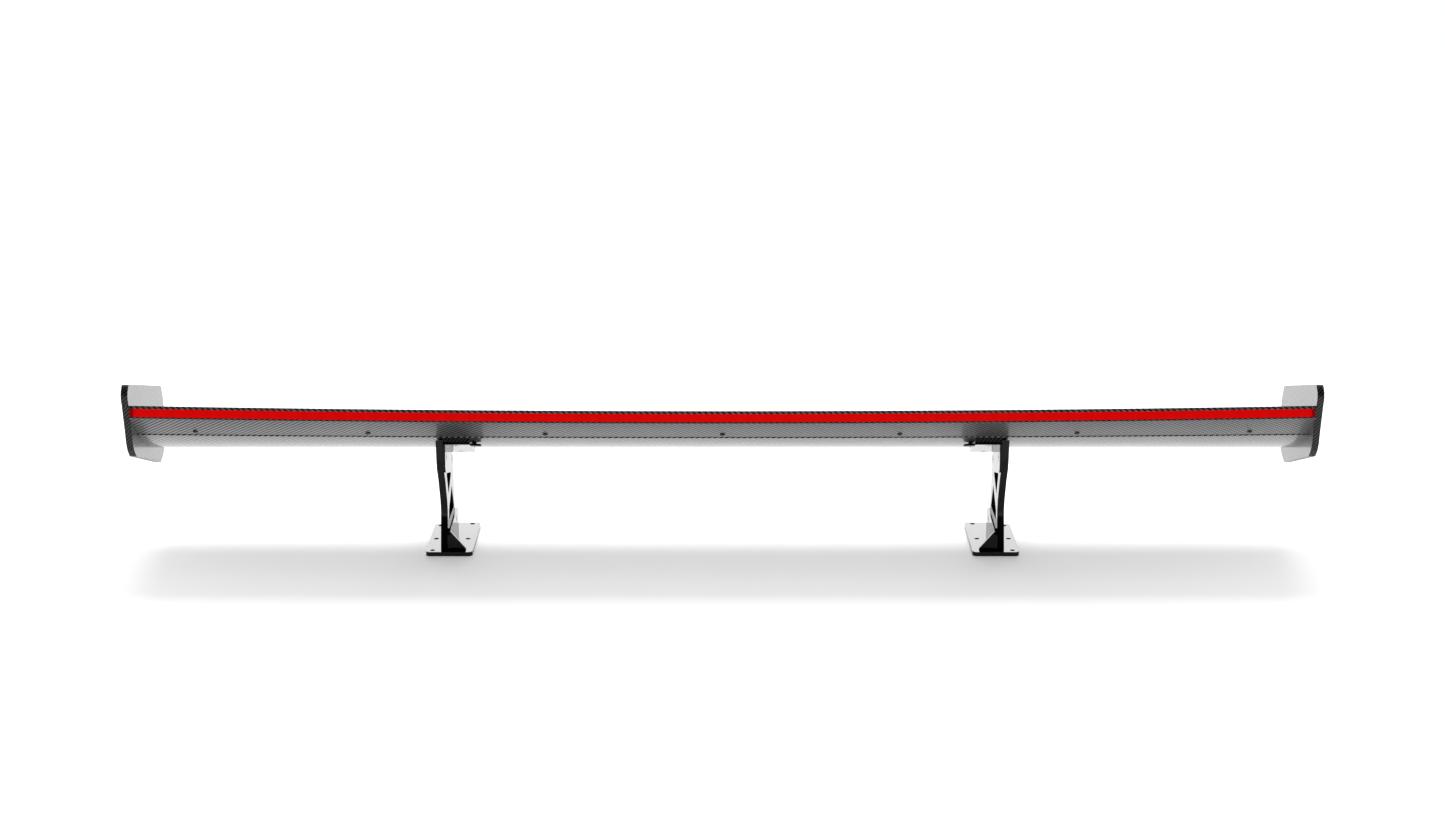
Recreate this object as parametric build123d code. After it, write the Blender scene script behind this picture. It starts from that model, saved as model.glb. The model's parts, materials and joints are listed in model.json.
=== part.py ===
from build123d import *
import math
import os

# Racing rear wing: a carbon blade with a light strip in its trailing edge, two end plates,
# and two truss uprights on bolted feet. Millimetres, X right, Y forward, Z up, feet on Z = 0.
# The blade's sections are drawn level, then turned down by the deck slope onto the feet.

deck_slope = 15.0
stand_y = -107.7
stand_z = 223.1

# blade
half_span = 761.0
tip_twist = 2.9
station_count = 5
tail_y = 8.0
nose_y = 218.0
nose_z = -38.0
crest_y = 190.0
crest_z = -28.0
keel_y = 144.0
keel_z = -54.4
seam_y = 60.0
seam_z = -41.0
tail_top_z = -5.8
tail_bottom_z = -22.0
skin = 2.0
lip = 3.8
lip_root_y = 40.0
seam_gap = 0.4
bond = 0.1
curve_steps = 7

# light strip
lens_face_y = 8.3
lens_depth = 3.2
lens_top_z = -9.8
lens_bottom_z = -19.9
lens_half = 756.0
led_pitch = 24.0
led_count = 62
led_size = (3.5, 1.4, 2.8)
board_y = (22.2, 23.6)
board_z = (-20.2, -15.4)
board_half = 750.0

# rear panel, thinner at both edges, with its screws as distances from the middle
panel_step = 0.8
panel_tail = 1.5
panel_taper_y = 20.0
land_y = (40.0, 80.0)
land_half = 750.0
screw_places = (0.0, 230.0, 460.0, 684.0)
screw_y = 48.0
screw_head_r = 3.25
screw_head_h = 1.6
screw_shank_r = 1.9
screw_length = 6.5
seat_gap = 0.15
insert_r = 3.0
insert_h = 6.0

# inside the blade
spar_y = (150.0, 175.0)
spar_wall = 2.0
core_x = 750.5
core_rear = 80.5
core_gap = 0.5
fit = skin + bond
grommet_at = (300.0, 168.0)
grommet_r = 5.0
grommet_flange = 1.2
lead_r = 2.2

# end plates
plate_thick = 9.0
plate_screws = ((60.0, -28.0), (104.0, -38.0), (150.0, -40.0), (196.0, -40.0))
plate_outline = (
    (6, 28.2), (0, 18), (0, 10.5), (6, 0.8), (16, -17.6), (24, -32.5), (31, -47.4),
    (39, -57), (52, -64.8), (202, -75.5), (218, -64.8), (227, -54), (220, 0.8), (214, 12.6), (202, 28.2),
)
plate_rounds = {(6, 28.2): 6.0, (202, 28.2): 9.0, (39, -57): 12.0, (52, -64.8): 12.0, (227, -54): 10.0}
plate_recess = 2.4
plate_recess_r = 4.7
plate_screw_r = 1.95
plate_screw_head = (4.4, 2.2)
plate_screw_length = 14.0

# mounts, left and right of the middle
upright_in = 364.5
upright_thick = 9.2
bolt_r = 3.0
bolt_clear_r = 3.25
pivot_at = (150.0, -70.0)
lock_at = (78.0, -66.0)
pitch_range = 8.0
upright_rear = (
    (60, -43.8), (64.7, -56.7), (69.5, -69.8), (77.9, -83.1), (95, -96.7), (107.2, -110.2),
    (119.6, -123.8), (127, -137.4), (127.9, -150),
)
upright_top = ((187, -61), (150, -56.8), (100, -52.9))
upright_base_y = (-33.8, 78.0)
window_top = ((110, -88), (168, -88), (138.5, -116.5))
window_low = ((35.5, 75.5), (-6, 53), (-8, 40), (59, 38))
window_round = 2.0
sheet = 3.0
side_gap = 0.2
flange_in = 329.4
flange_rear = (60.0, -46.8)
flange_front = (150.0, -57.9)
ear_at = (325.0, 83.0)
ear_r = 9.0
flange_bolts = ((348.0, 70.0), (348.0, 140.0), (325.0, 83.0))
hard_in = 312.0
hard_out = 374.0
sunk_r = 5.8
sunk_h = 2.9
key_r = 2.3
key_h = 1.9
pocket_r = 6.3
pocket_h = 4.2
washer_r = 5.9
washer_h = 0.6
nut_r = 5.6
nut_h = 3.2
bush_r = 5.0
running = 0.05
pocket_x = upright_in + upright_thick - pocket_h
tapped_h = 7.5
lug_out = upright_in - side_gap
lug_in = lug_out - sheet

# feet
foot_in = 331.4
foot_out = 393.3
foot_rear = -42.3
foot_front_in = 90.2
foot_front_out = 82.5
pad_h = 1.0
foot_h = 5.0
foot_round = 6.0
foot_top = pad_h + foot_h
foot_holes = ((384.8, -34.3), (384.8, 15.7), (384.8, 74.3), (342.3, 15.7), (342.3, 82.1))
foot_hole_r = 3.25
lug_thick = 4.0
lug_y = (-34.0, 75.0)
lug_top = 34.0
lug_round = 9.0
lug_bolts = ((-15.0, 24.0), (48.0, 24.0))
gusset_y = -32.8
gusset_thick = 4.0
gusset_tip = 340.5
gusset_top = 32.0

sides = {"left": -1, "right": 1}


# places


def on_stand(shape):
    """Turn a level shape down by the deck slope and set it over the feet."""
    return Pos(0, stand_y, stand_z) * Rot(-deck_slope, 0, 0) * shape


def stand_point(y, z):
    a = math.radians(deck_slope)
    return (
        y * math.cos(a) + z * math.sin(a) + stand_y,
        z * math.cos(a) - y * math.sin(a) + stand_z,
    )


def twist_at(x):
    """Tail-up twist in degrees, parabolic between the stations and straight inside each bay."""
    place = abs(x) / half_span * (station_count - 1)
    low = min(int(place), station_count - 2)
    share = place - low
    a = tip_twist * (low / (station_count - 1)) ** 2
    b = tip_twist * ((low + 1) / (station_count - 1)) ** 2
    return a + (b - a) * share


def twisted(x, y, z):
    a = math.radians(twist_at(x))
    dy = y - keel_y
    dz = z - keel_z
    return (
        x,
        keel_y + dy * math.cos(a) + dz * math.sin(a),
        keel_z + dz * math.cos(a) - dy * math.sin(a),
    )


def stations(x0, x1):
    bay = half_span / (station_count - 1)
    grid = [i * bay for i in range(1 - station_count, station_count)]
    return [x0] + [x for x in grid if x0 + 1 < x < x1 - 1] + [x1]


# blade section


def top_z(y, depth=0.0):
    """Upper surface, or a line the given depth under it."""
    if y <= crest_y:
        rise = tail_top_z - crest_z
        return crest_z + rise * ((crest_y - y) / (crest_y - tail_y)) ** 2 - depth
    share = (y - crest_y) / (nose_y - depth - crest_y)
    return nose_z + (crest_z - nose_z - depth) * math.sqrt(max(0.0, 1 - share**2))


def bottom_z(y, depth=0.0):
    """Lower surface, or a line the given depth over it."""
    if y > keel_y:
        share = (y - keel_y) / (nose_y - depth - keel_y)
        return nose_z - (nose_z - keel_z - depth) * math.sqrt(max(0.0, 1 - share**2))
    sag = seam_z - keel_z
    if y >= seam_y:
        return keel_z + sag * ((keel_y - y) / (keel_y - seam_y)) ** 2 + depth
    slope = 2 * sag / (keel_y - seam_y)
    run = seam_y - y
    full = seam_y - tail_y
    bow = (tail_bottom_z - seam_z - slope * full) / full**2
    return seam_z + slope * run + bow * run**2 + depth


def spread(y0, y1, at_nose=False):
    """Values of y from y0 to y1, closing up towards y1 where that is the nose."""
    shares = [i / (curve_steps - 1) for i in range(curve_steps)]
    if at_nose:
        shares = [math.sin(s * math.pi / 2) for s in shares]
    return [y0 + (y1 - y0) * s for s in shares]


def lip_depth(y):
    return skin + (lip - skin) * (max(0.0, lip_root_y - y) / (lip_root_y - tail_y)) ** 2


def panel_outside(y):
    """The panel sinks from flush at the tail to a small step at the seam."""
    return panel_step * (y - tail_y) / (seam_y - tail_y)


def panel_inside(y):
    return skin - (skin - panel_tail) * max(0.0, panel_taper_y - y) / (panel_taper_y - tail_y)


def surface_line(height, turn_y, y0, y1, depth):
    """Points of a surface from y0 to y1; past turn_y they close up towards the nose."""
    rear = [(y, height(y, depth(y))) for y in spread(y0, min(y1, turn_y))]
    if y1 <= turn_y:
        return rear
    front_y = spread(max(y0, turn_y), y1 - depth(y1), True)
    front = [(y, height(y, depth(y))) for y in front_y]
    return front if y0 >= turn_y else rear + front[1:]


def top_line(y0, y1, depth):
    return surface_line(top_z, crest_y, y0, y1, depth)


def bottom_line(y0, y1, depth):
    return surface_line(bottom_z, keel_y, y0, y1, depth)


def flat(value):
    return lambda y: value


def blade_part(upper, lower, x0, x1):
    """Ruled loft along the span of the closed section between two lines of points."""
    wires = []
    for x in stations(x0, x1):
        rows = []
        for line in (upper, lower):
            points = [Vector(*twisted(x, y, z)) for y, z in line]
            rows.append((points, Spline(*points) if len(points) > 2 else Line(*points)))
        edges = [rows[0][1].edge(), rows[1][1].edge()]
        for end in (0, -1):
            a = rows[0][0][end]
            b = rows[1][0][end]
            if (a - b).length > 1e-6:
                edges.append(Line(a, b).edge())
        wires.append(Wire(edges))
    return Solid.make_loft(wires, ruled=True)


def blade_bar(corners, x0, x1):
    """Ruled loft along the span of a straight-sided section."""
    wires = []
    for x in stations(x0, x1):
        points = [Vector(*twisted(x, y, z)) for y, z in corners]
        wires.append(Wire(Polyline(*points, close=True).edges()))
    return Solid.make_loft(wires, ruled=True)


# small pieces


def rod(start, direction, radius, length):
    return Plane(origin=start, z_dir=direction) * Cylinder(
        radius, length, align=(Align.CENTER, Align.CENTER, Align.MIN)
    )


def cap_screw(start, direction, head_radius, head_height, shank_radius, shank_length):
    """Low socket screw: start is under the head, direction runs along the shank."""
    back = Vector(*direction) * -1
    head = rod(start, back, head_radius, head_height)
    head = chamfer(head.edges().filter_by(GeomType.CIRCLE), head_height * 0.12)
    shank = rod(Vector(*start) + back * 0.5, direction, shank_radius, shank_length + 0.5)
    face = Vector(*start) + back * head_height
    return head + shank - hex_key(face, back, head_radius * 0.52, head_height * 0.6)


def hex_key(face, out, radius, depth):
    """The hexagon socket's space, sunk into the face that looks out."""
    return Plane(origin=face - out * depth, z_dir=out) * extrude(RegularPolygon(radius, 6), amount=depth + 1)


def cone_space(face, inward, radius, foot_radius, height):
    """Countersink from a face down to the shank."""
    return Plane(origin=face, z_dir=inward) * Cone(
        radius, foot_radius, height, align=(Align.CENTER, Align.CENTER, Align.MIN)
    )


def sunk_bolt(face, inward, length):
    """Countersunk socket bolt, its head flush with the face, its length overall."""
    face = Vector(*face)
    inward = Vector(*inward)
    head = cone_space(face, inward, sunk_r - 0.1, bolt_r, sunk_h)
    shank = rod(face + inward * (sunk_h - 0.2), inward, bolt_r, length - sunk_h + 0.2)
    return head + shank - hex_key(face, inward * -1, key_r, key_h)


def sink(shape, face, inward, depth):
    """Cut a countersunk bolt hole of this depth into a shape."""
    face = Vector(*face)
    inward = Vector(*inward)
    hole = rod(face - inward, inward, bolt_clear_r, depth + 2)
    return shape - hole - cone_space(face, inward, sunk_r, bolt_clear_r, sunk_h)


def washer(start, direction, outer, bore, height):
    return rod(start, direction, outer, height) - rod(
        Vector(*start) - Vector(*direction), direction, bore, height + 2
    )


# flange directions

flange_slope = (flange_front[1] - flange_rear[1]) / (flange_front[0] - flange_rear[0])
flange_up = Vector(0, -flange_slope, 1).normalized()


def flange_z(y):
    return flange_rear[1] + flange_slope * (y - flange_rear[0])


def under_flange(x, y):
    """A point on the lower face of the flange."""
    return Vector(x, y, flange_z(y)) - flange_up * sheet


# wing


def make_upper_skin():
    return blade_part(
        top_line(tail_y, nose_y, flat(0.0)), top_line(tail_y, nose_y, lip_depth), -half_span, half_span
    )


def make_lower_skin():
    y0 = seam_y + seam_gap
    skin_part = blade_part(
        bottom_line(y0, nose_y, flat(skin)), bottom_line(y0, nose_y, flat(0.0)), -half_span, half_span
    )
    for side in sides.values():
        for x, y in flange_bolts:
            skin_part = skin_part - rod(under_flange(side * x, y), flange_up, bolt_clear_r, 30)
    return skin_part - grommet_hole()


def panel_point(x, y):
    return Vector(*twisted(x, y, bottom_z(y, panel_outside(y))))


def screw_frame(x):
    """Head seat of a panel screw, and the inward normal there."""
    along = (panel_point(x, screw_y + 1) - panel_point(x, screw_y - 1)).normalized()
    inward = Vector(0, -along.Z, along.Y)
    return panel_point(x, screw_y) - inward * seat_gap, inward


def screw_xs():
    return sorted({sign * x for x in screw_places for sign in (-1, 1)})


def make_rear_panel():
    panel = blade_part(
        bottom_line(tail_y, seam_y - seam_gap, panel_inside),
        bottom_line(tail_y, seam_y - seam_gap, panel_outside),
        -half_span,
        half_span,
    )
    for x in screw_xs():
        seat, inward = screw_frame(x)
        panel = panel - rod(seat - inward * 2, inward, screw_shank_r + 0.2, 8)
    return panel


def make_panel_land():
    land = blade_part(
        bottom_line(*land_y, flat(2 * skin)), bottom_line(*land_y, flat(fit)), -land_half, land_half
    )
    for x in screw_xs():
        seat, inward = screw_frame(x)
        land = land - rod(seat - inward, inward, insert_r + 0.02, 10)
    for side in sides.values():
        for x, y in flange_bolts:
            land = land - rod(under_flange(side * x, y), flange_up, bolt_clear_r, 30)
    return land


def make_panel_screws():
    screws = []
    for x in screw_xs():
        seat, inward = screw_frame(x)
        screws.append(cap_screw(seat, inward, screw_head_r, screw_head_h, screw_shank_r, screw_length))
    return Compound(children=screws)


def make_panel_inserts():
    inserts = []
    for x in screw_xs():
        seat, inward = screw_frame(x)
        start = seat + inward * (seat_gap + fit - panel_outside(screw_y))
        inserts.append(washer(start, inward, insert_r, screw_shank_r + 0.05, insert_h))
    return Compound(children=inserts)


def make_nose_core():
    upper = top_line(spar_y[1] + bond, nose_y - 2, flat(fit))
    lower = bottom_line(spar_y[1] + bond, nose_y - 2, flat(fit))
    return blade_part(upper, lower, -core_x, core_x)


def make_spar():
    def box_at(y0, y1, depth):
        rear = [(y0, bottom_z(y0, depth)), (y0, top_z(y0, depth))]
        return rear + [(y1, top_z(y1, depth)), (y1, bottom_z(y1, depth))]

    outer = box_at(*spar_y, fit)
    inner = box_at(spar_y[0] + spar_wall, spar_y[1] - spar_wall, fit + spar_wall)
    return blade_bar(outer, -core_x, core_x) - blade_bar(inner, -core_x - 2, core_x + 2)


def make_rear_core():
    upper = top_line(core_rear, spar_y[0] - bond, flat(fit))
    lower = bottom_line(core_rear, spar_y[0] - bond, flat(fit))
    inner_end = hard_in - core_gap
    outer_start = hard_out + core_gap
    bays = ((-core_x, -outer_start), (-inner_end, inner_end), (outer_start, core_x))
    return Compound(children=[blade_part(upper, lower, x0, x1) for x0, x1 in bays])


def make_end_rib(side):
    upper = top_line(40, nose_y - 4, flat(fit))
    lower = bottom_line(40, nose_y - 4, flat(2 * skin + bond))
    x0, x1 = sorted((side * (core_x + 0.3), side * half_span))
    rib = blade_part(upper, lower, x0, x1)
    for y, z in plate_screws:
        rib = rib - rod((side * (core_x - 2), y, z), (side, 0, 0), 2.0, 20)
    return rib


def make_hardpoint(side):
    """Block between the skins over a bracket, stepped over the land."""
    y0 = 62.0
    y1 = spar_y[0] - bond
    step = core_rear
    low = [(y0, 2 * skin + bond), (step, 2 * skin + bond), (step, fit), (110.0, fit), (y1, fit)]
    high = (y1, 128.0, 106.0, 84.0, y0)
    corners = [(y, bottom_z(y, depth)) for y, depth in low]
    corners += [(y, top_z(y, fit + 0.4)) for y in high]
    x0, x1 = sorted((side * hard_in, side * hard_out))
    block = blade_bar(corners, x0, x1)
    for x, y in flange_bolts:
        block = block - rod(under_flange(side * x, y), flange_up, bolt_r + 0.05, 26)
    return block


def lens_bar(x0, x1):
    y1 = lens_face_y + lens_depth
    face = [(lens_face_y, lens_bottom_z), (lens_face_y, lens_top_z)]
    back = [(y1, lens_top_z - 0.8), (y1, lens_bottom_z - 0.2)]
    return blade_bar(face + back, *sorted((x0, x1)))


def make_lens():
    return lens_bar(-lens_half, lens_half)


def make_lens_caps():
    return Compound(children=[lens_bar(s * lens_half, s * half_span) for s in sides.values()])


def make_light_housing():
    """Channel behind the lens, open towards it."""
    y0 = lens_face_y + lens_depth
    y1 = board_y[1] + 0.2
    top = board_z[1] + 0.8
    low = board_z[0] - 0.7
    wall = 1.2
    mouth_top = lens_top_z - 1.1
    mouth_low = lens_bottom_z - 0.3
    outer = [(y0, mouth_top), (y1 + wall, top + 1.0), (y1 + wall, low - 1.3), (y0, mouth_low)]
    inner = [(y0, mouth_low + wall), (y1, low), (y1, top), (y0, mouth_top - wall)]
    return blade_bar(outer + inner, -half_span + 2, half_span - 2)


def make_light_board():
    corners = [(y, z) for y, zs in ((board_y[0], board_z), (board_y[1], board_z[::-1])) for z in zs]
    return blade_bar(corners, -board_half, board_half)


def make_leds():
    middle_z = sum(board_z) / 2
    leds = []
    for i in range(led_count):
        x = (i - (led_count - 1) / 2) * led_pitch
        place = twisted(x, board_y[0], middle_z)
        chip = Box(*led_size, align=(Align.CENTER, Align.MAX, Align.CENTER))
        leds.append(Pos(*place) * Rot(-twist_at(x), 0, 0) * chip)
    return Compound(children=leds)


def make_grommet():
    """Rubber grommet in the lower shell, ahead of the keel."""
    x, y = grommet_at
    up = (0, 0, 1)
    foot = bottom_z(y) - grommet_flange
    body = rod((x, y, foot), up, grommet_r + 2, grommet_flange)
    neck = rod((x, y, foot + 0.2), up, grommet_r - 0.1, 2.3)
    hole = rod((x, y, foot - 2), up, lead_r, 12)
    shell = blade_part(
        bottom_line(seam_y, nose_y, flat(skin)), bottom_line(seam_y, nose_y, flat(0.0)), x - 20, x + 20
    )
    return body + neck - hole - (shell - grommet_hole())


def grommet_hole():
    return rod((*grommet_at, keel_z - 5), (0, 0, 1), grommet_r, 12)


def make_end_plate(side):
    sketch = make_face(Polyline(*plate_outline, close=True))
    for (y, z), radius in plate_rounds.items():
        near = [v for v in sketch.vertices() if abs(v.X - y) < 0.1 and abs(v.Y - z) < 0.1]
        sketch = fillet(near, radius)
    plate = extrude(Plane.YZ.offset(half_span) * sketch, amount=plate_thick)
    for y, z in plate_screws:
        plate = plate - rod((half_span - 1, y, z), (1, 0, 0), plate_screw_r + 0.25, plate_thick + 2)
        plate = plate - rod((half_span + plate_thick - plate_recess, y, z), (1, 0, 0), plate_recess_r, 4)
    return plate if side > 0 else mirror(plate, Plane.YZ)


def make_end_plate_screws():
    screws = []
    for side in sides.values():
        for y, z in plate_screws:
            seat = (side * (half_span + plate_thick - plate_recess), y, z)
            inward = (-side, 0, 0)
            screws.append(cap_screw(seat, inward, *plate_screw_head, plate_screw_r, plate_screw_length))
    return Compound(children=screws)


# brackets

def make_flange():
    """Sloped leaf of the right bracket, with the ear for the third bolt."""
    tilt = math.atan(flange_slope)
    length = (flange_front[0] - flange_rear[0]) / math.cos(tilt)
    ear_y = (ear_at[1] - flange_rear[0]) / math.cos(tilt)
    ear_root = flange_in + 4
    leaf = Pos((flange_in + lug_out) / 2, length / 2) * Rectangle(lug_out - flange_in, length)
    leaf = leaf + Pos(ear_at[0], ear_y) * Circle(ear_r)
    leaf = leaf + Pos((ear_at[0] + ear_root) / 2, ear_y) * Rectangle(ear_root - ear_at[0], 2 * ear_r)
    return Pos(0, *flange_rear) * Rot(math.degrees(tilt), 0, 0) * extrude(leaf, amount=-sheet)


def make_bracket(side):
    lug_points = [(60.5, flange_z(60.5)), (66, -86.5), (165, -86.5), (167, -66), (150, flange_z(150))]
    sketch = make_face(Polyline(*lug_points, close=True))
    low = [v for v in sketch.vertices() if v.Y < -80]
    sketch = fillet(low, 12.0)
    front = [v for v in sketch.vertices() if v.X > 166.9]
    sketch = fillet(front, 5.0)
    lug = extrude(Plane.YZ.offset(lug_in) * sketch, amount=sheet)
    bracket = lug + make_flange()
    for at in (pivot_at, lock_at):
        bracket = sink(bracket, (lug_in, *at), (1, 0, 0), sheet)
    for x, y in flange_bolts:
        bracket = sink(bracket, under_flange(x, y), flange_up, sheet)
    return bracket if side > 0 else mirror(bracket, Plane.YZ)


def make_saddle_pad(side):
    """Carbon pad that fills the wedge between the flange and the lower shell."""
    x0, x1 = sorted((side * (flange_in + 0.3), side * lug_out))
    y_line = (flange_rear[0] + 0.6, 75.0, 90.0, 105.0, 120.0, 135.0, flange_front[0] - 1)
    upper = [(y, bottom_z(y) - bond) for y in y_line]
    wires = []
    for x in stations(x0, x1):
        points = [Vector(*twisted(x, y, z)) for y, z in upper]
        base = [Vector(x, p.Y, flange_z(p.Y)) for p in (points[0], points[-1])]
        edges = [Spline(*points).edge(), Line(points[-1], base[1]).edge()]
        edges += [Line(base[1], base[0]).edge(), Line(base[0], points[0]).edge()]
        wires.append(Wire(edges))
    pad = Solid.make_loft(wires, ruled=True)
    for x, y in flange_bolts[:2]:
        pad = pad - rod(under_flange(side * x, y), flange_up, bolt_clear_r, 20)
    return pad


def make_bracket_bolts():
    bolts = []
    for side in sides.values():
        for x, y in flange_bolts:
            bolts.append(sunk_bolt(under_flange(side * x, y), flange_up, 22))
    return Compound(children=bolts)


# uprights


def from_level(points):
    return [stand_point(y, z) for y, z in points]


def arc_slot(x, depth, half_width):
    """Space that the lock bolt sweeps as the wing turns from rest to its steepest."""
    py, pz = stand_point(*pivot_at)
    ly, lz = stand_point(*lock_at)
    start = math.atan2(lz - pz, ly - py)
    swing = math.radians(pitch_range + 0.4)
    reach = math.hypot(ly - py, lz - pz)

    def at(radius, angle):
        return (py + radius * math.cos(angle), pz + radius * math.sin(angle))

    ends = [start + math.radians(0.2), start - swing]
    middle = (ends[0] + ends[1]) / 2
    outer = ThreePointArc(*[at(reach + half_width, a) for a in (ends[0], middle, ends[1])])
    inner = ThreePointArc(*[at(reach - half_width, a) for a in (ends[1], middle, ends[0])])
    caps = [Line(outer @ 1, inner @ 0), Line(inner @ 1, outer @ 0)]
    slot = extrude(Plane.YZ.offset(x) * make_face([outer, caps[0], inner, caps[1]]), amount=depth)
    for angle in ends:
        slot = slot + rod((x, *at(reach, angle)), (1, 0, 0), half_width, depth)
    return slot


def make_upright(side):
    rear = from_level(upright_rear)
    top = from_level(upright_top)
    outline = rear + [(y, foot_top) for y in upright_base_y] + top
    sketch = make_face(Polyline(*outline, close=True))
    nose = [v for v in sketch.vertices() if abs(v.X - top[0][0]) < 0.1 and abs(v.Y - top[0][1]) < 0.1]
    sketch = fillet(nose, 9.0)
    for window in (from_level(window_top), window_low):
        hole = make_face(Polyline(*window, close=True))
        sketch = sketch - fillet(hole.vertices(), window_round)
    plate = extrude(Plane.YZ.offset(upright_in) * sketch, amount=upright_thick)
    y, z = stand_point(*pivot_at)
    plate = plate - rod((upright_in - 1, y, z), (1, 0, 0), bush_r + 0.02, upright_thick + 2)
    plate = plate - rod((pocket_x, y, z), (1, 0, 0), pocket_r, pocket_h + 1)
    plate = plate - arc_slot(upright_in - 1, upright_thick + 2, bolt_r + 0.3)
    plate = plate - arc_slot(pocket_x, pocket_h + 1, pocket_r)
    for y, z in lug_bolts:
        plate = plate - rod((upright_in - 1, y, z), (1, 0, 0), bolt_r + 0.02, tapped_h + 1)
    return plate if side > 0 else mirror(plate, Plane.YZ)


def joint_stack(at):
    """Bolt, washer and nut of one bracket joint on the right, listed from the inside out."""
    y, z = stand_point(*at)
    seat = pocket_x + 0.1
    bolt = sunk_bolt((lug_in, y, z), (1, 0, 0), seat + washer_h + nut_h - lug_in)
    ring = washer((seat, y, z), (1, 0, 0), washer_r, bolt_r + running, washer_h)
    nut = washer((seat + washer_h, y, z), (1, 0, 0), nut_r, bolt_r + 0.01, nut_h)
    return bolt, ring, nut


def both_sides(shapes):
    return Compound(children=list(shapes) + [mirror(shape, Plane.YZ) for shape in shapes])


def make_bushes():
    """Flush bush pressed into each upright, that the pivot bolt turns in."""
    y, z = stand_point(*pivot_at)
    length = pocket_x - upright_in
    return both_sides([washer((upright_in, y, z), (1, 0, 0), bush_r, bolt_r + running, length)])


# feet


def foot_plan(height, z):
    rear = [(foot_in, foot_rear), (foot_out, foot_rear)]
    front = [(foot_out, foot_front_out), (foot_in, foot_front_in)]
    sketch = make_face(Polyline(*rear, *front, close=True))
    sketch = fillet(sketch.vertices(), foot_round)
    for x, y in foot_holes:
        sketch = sketch - Pos(x, y) * Circle(foot_hole_r)
    return extrude(Plane.XY.offset(z) * sketch, amount=height)


def make_foot(side):
    plate = foot_plan(foot_h, pad_h)
    rear, front = lug_y
    lug_points = [(rear, foot_top - 1), (rear, lug_top), (front, lug_top), (front, foot_top - 1)]
    sketch = make_face(Polyline(*lug_points, close=True))
    sketch = fillet([v for v in sketch.vertices() if v.Y > foot_top], lug_round)
    lug = extrude(Plane.YZ.offset(upright_in - lug_thick) * sketch, amount=lug_thick)
    for y, z in lug_bolts:
        lug = sink(lug, (upright_in - lug_thick, y, z), (1, 0, 0), lug_thick)
    face = upright_in - lug_thick + 0.5
    base = foot_top - 0.5
    rib_points = [(face, base), (gusset_tip, base), (gusset_tip, foot_top + 2), (face, gusset_top)]
    rib_plane = Plane.XZ.offset(-gusset_y)
    rib = extrude(rib_plane * make_face(Polyline(*rib_points, close=True)), amount=-gusset_thick)
    foot = plate + lug + rib
    return foot if side > 0 else mirror(foot, Plane.YZ)


def make_foot_pad(side):
    pad = foot_plan(pad_h, 0)
    return pad if side > 0 else mirror(pad, Plane.YZ)


def foot_fasteners():
    seat = upright_in - lug_thick
    return [sunk_bolt((seat, y, z), (1, 0, 0), lug_thick + tapped_h - 0.5) for y, z in lug_bolts]


# write

pivot_bolt, pivot_washer, pivot_nut = joint_stack(pivot_at)
lock_bolt, lock_washer, lock_nut = joint_stack(lock_at)

level_parts = {
    "upper_skin": make_upper_skin(),
    "lower_skin": make_lower_skin(),
    "rear_panel": make_rear_panel(),
    "panel_land": make_panel_land(),
    "panel_screws": make_panel_screws(),
    "panel_inserts": make_panel_inserts(),
    "nose_core": make_nose_core(),
    "spar": make_spar(),
    "rear_core": make_rear_core(),
    "light_lens": make_lens(),
    "lens_end_caps": make_lens_caps(),
    "light_housing": make_light_housing(),
    "light_board": make_light_board(),
    "light_leds": make_leds(),
    "cable_grommet": make_grommet(),
    "end_plate_screws": make_end_plate_screws(),
    "bracket_bolts": make_bracket_bolts(),
}
stand_parts = {
    "pivot_bolts": both_sides([pivot_bolt]),
    "pivot_bushes": make_bushes(),
    "lock_bolts": both_sides([lock_bolt]),
    "bracket_washers": both_sides([pivot_washer, lock_washer]),
    "bracket_nuts": both_sides([pivot_nut, lock_nut]),
    "foot_bolts": both_sides(foot_fasteners()),
}
for name, side in sides.items():
    level_parts[f"end_rib_{name}"] = make_end_rib(side)
    level_parts[f"hardpoint_{name}"] = make_hardpoint(side)
    level_parts[f"end_plate_{name}"] = make_end_plate(side)
    level_parts[f"saddle_pad_{name}"] = make_saddle_pad(side)
    level_parts[f"wing_bracket_{name}"] = make_bracket(side)
    stand_parts[f"upright_{name}"] = make_upright(side)
    stand_parts[f"foot_{name}"] = make_foot(side)
    stand_parts[f"foot_pad_{name}"] = make_foot_pad(side)

os.makedirs("parts", exist_ok=True)
for node, shape in level_parts.items():
    export_step(on_stand(shape), f"parts/{node}.step")
for node, shape in stand_parts.items():
    export_step(shape, f"parts/{node}.step")
print("pivot at", [round(v, 3) for v in stand_point(*pivot_at)])
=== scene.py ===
import bpy
import bmesh
import json
import math
from mathutils import Matrix, Vector


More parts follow.
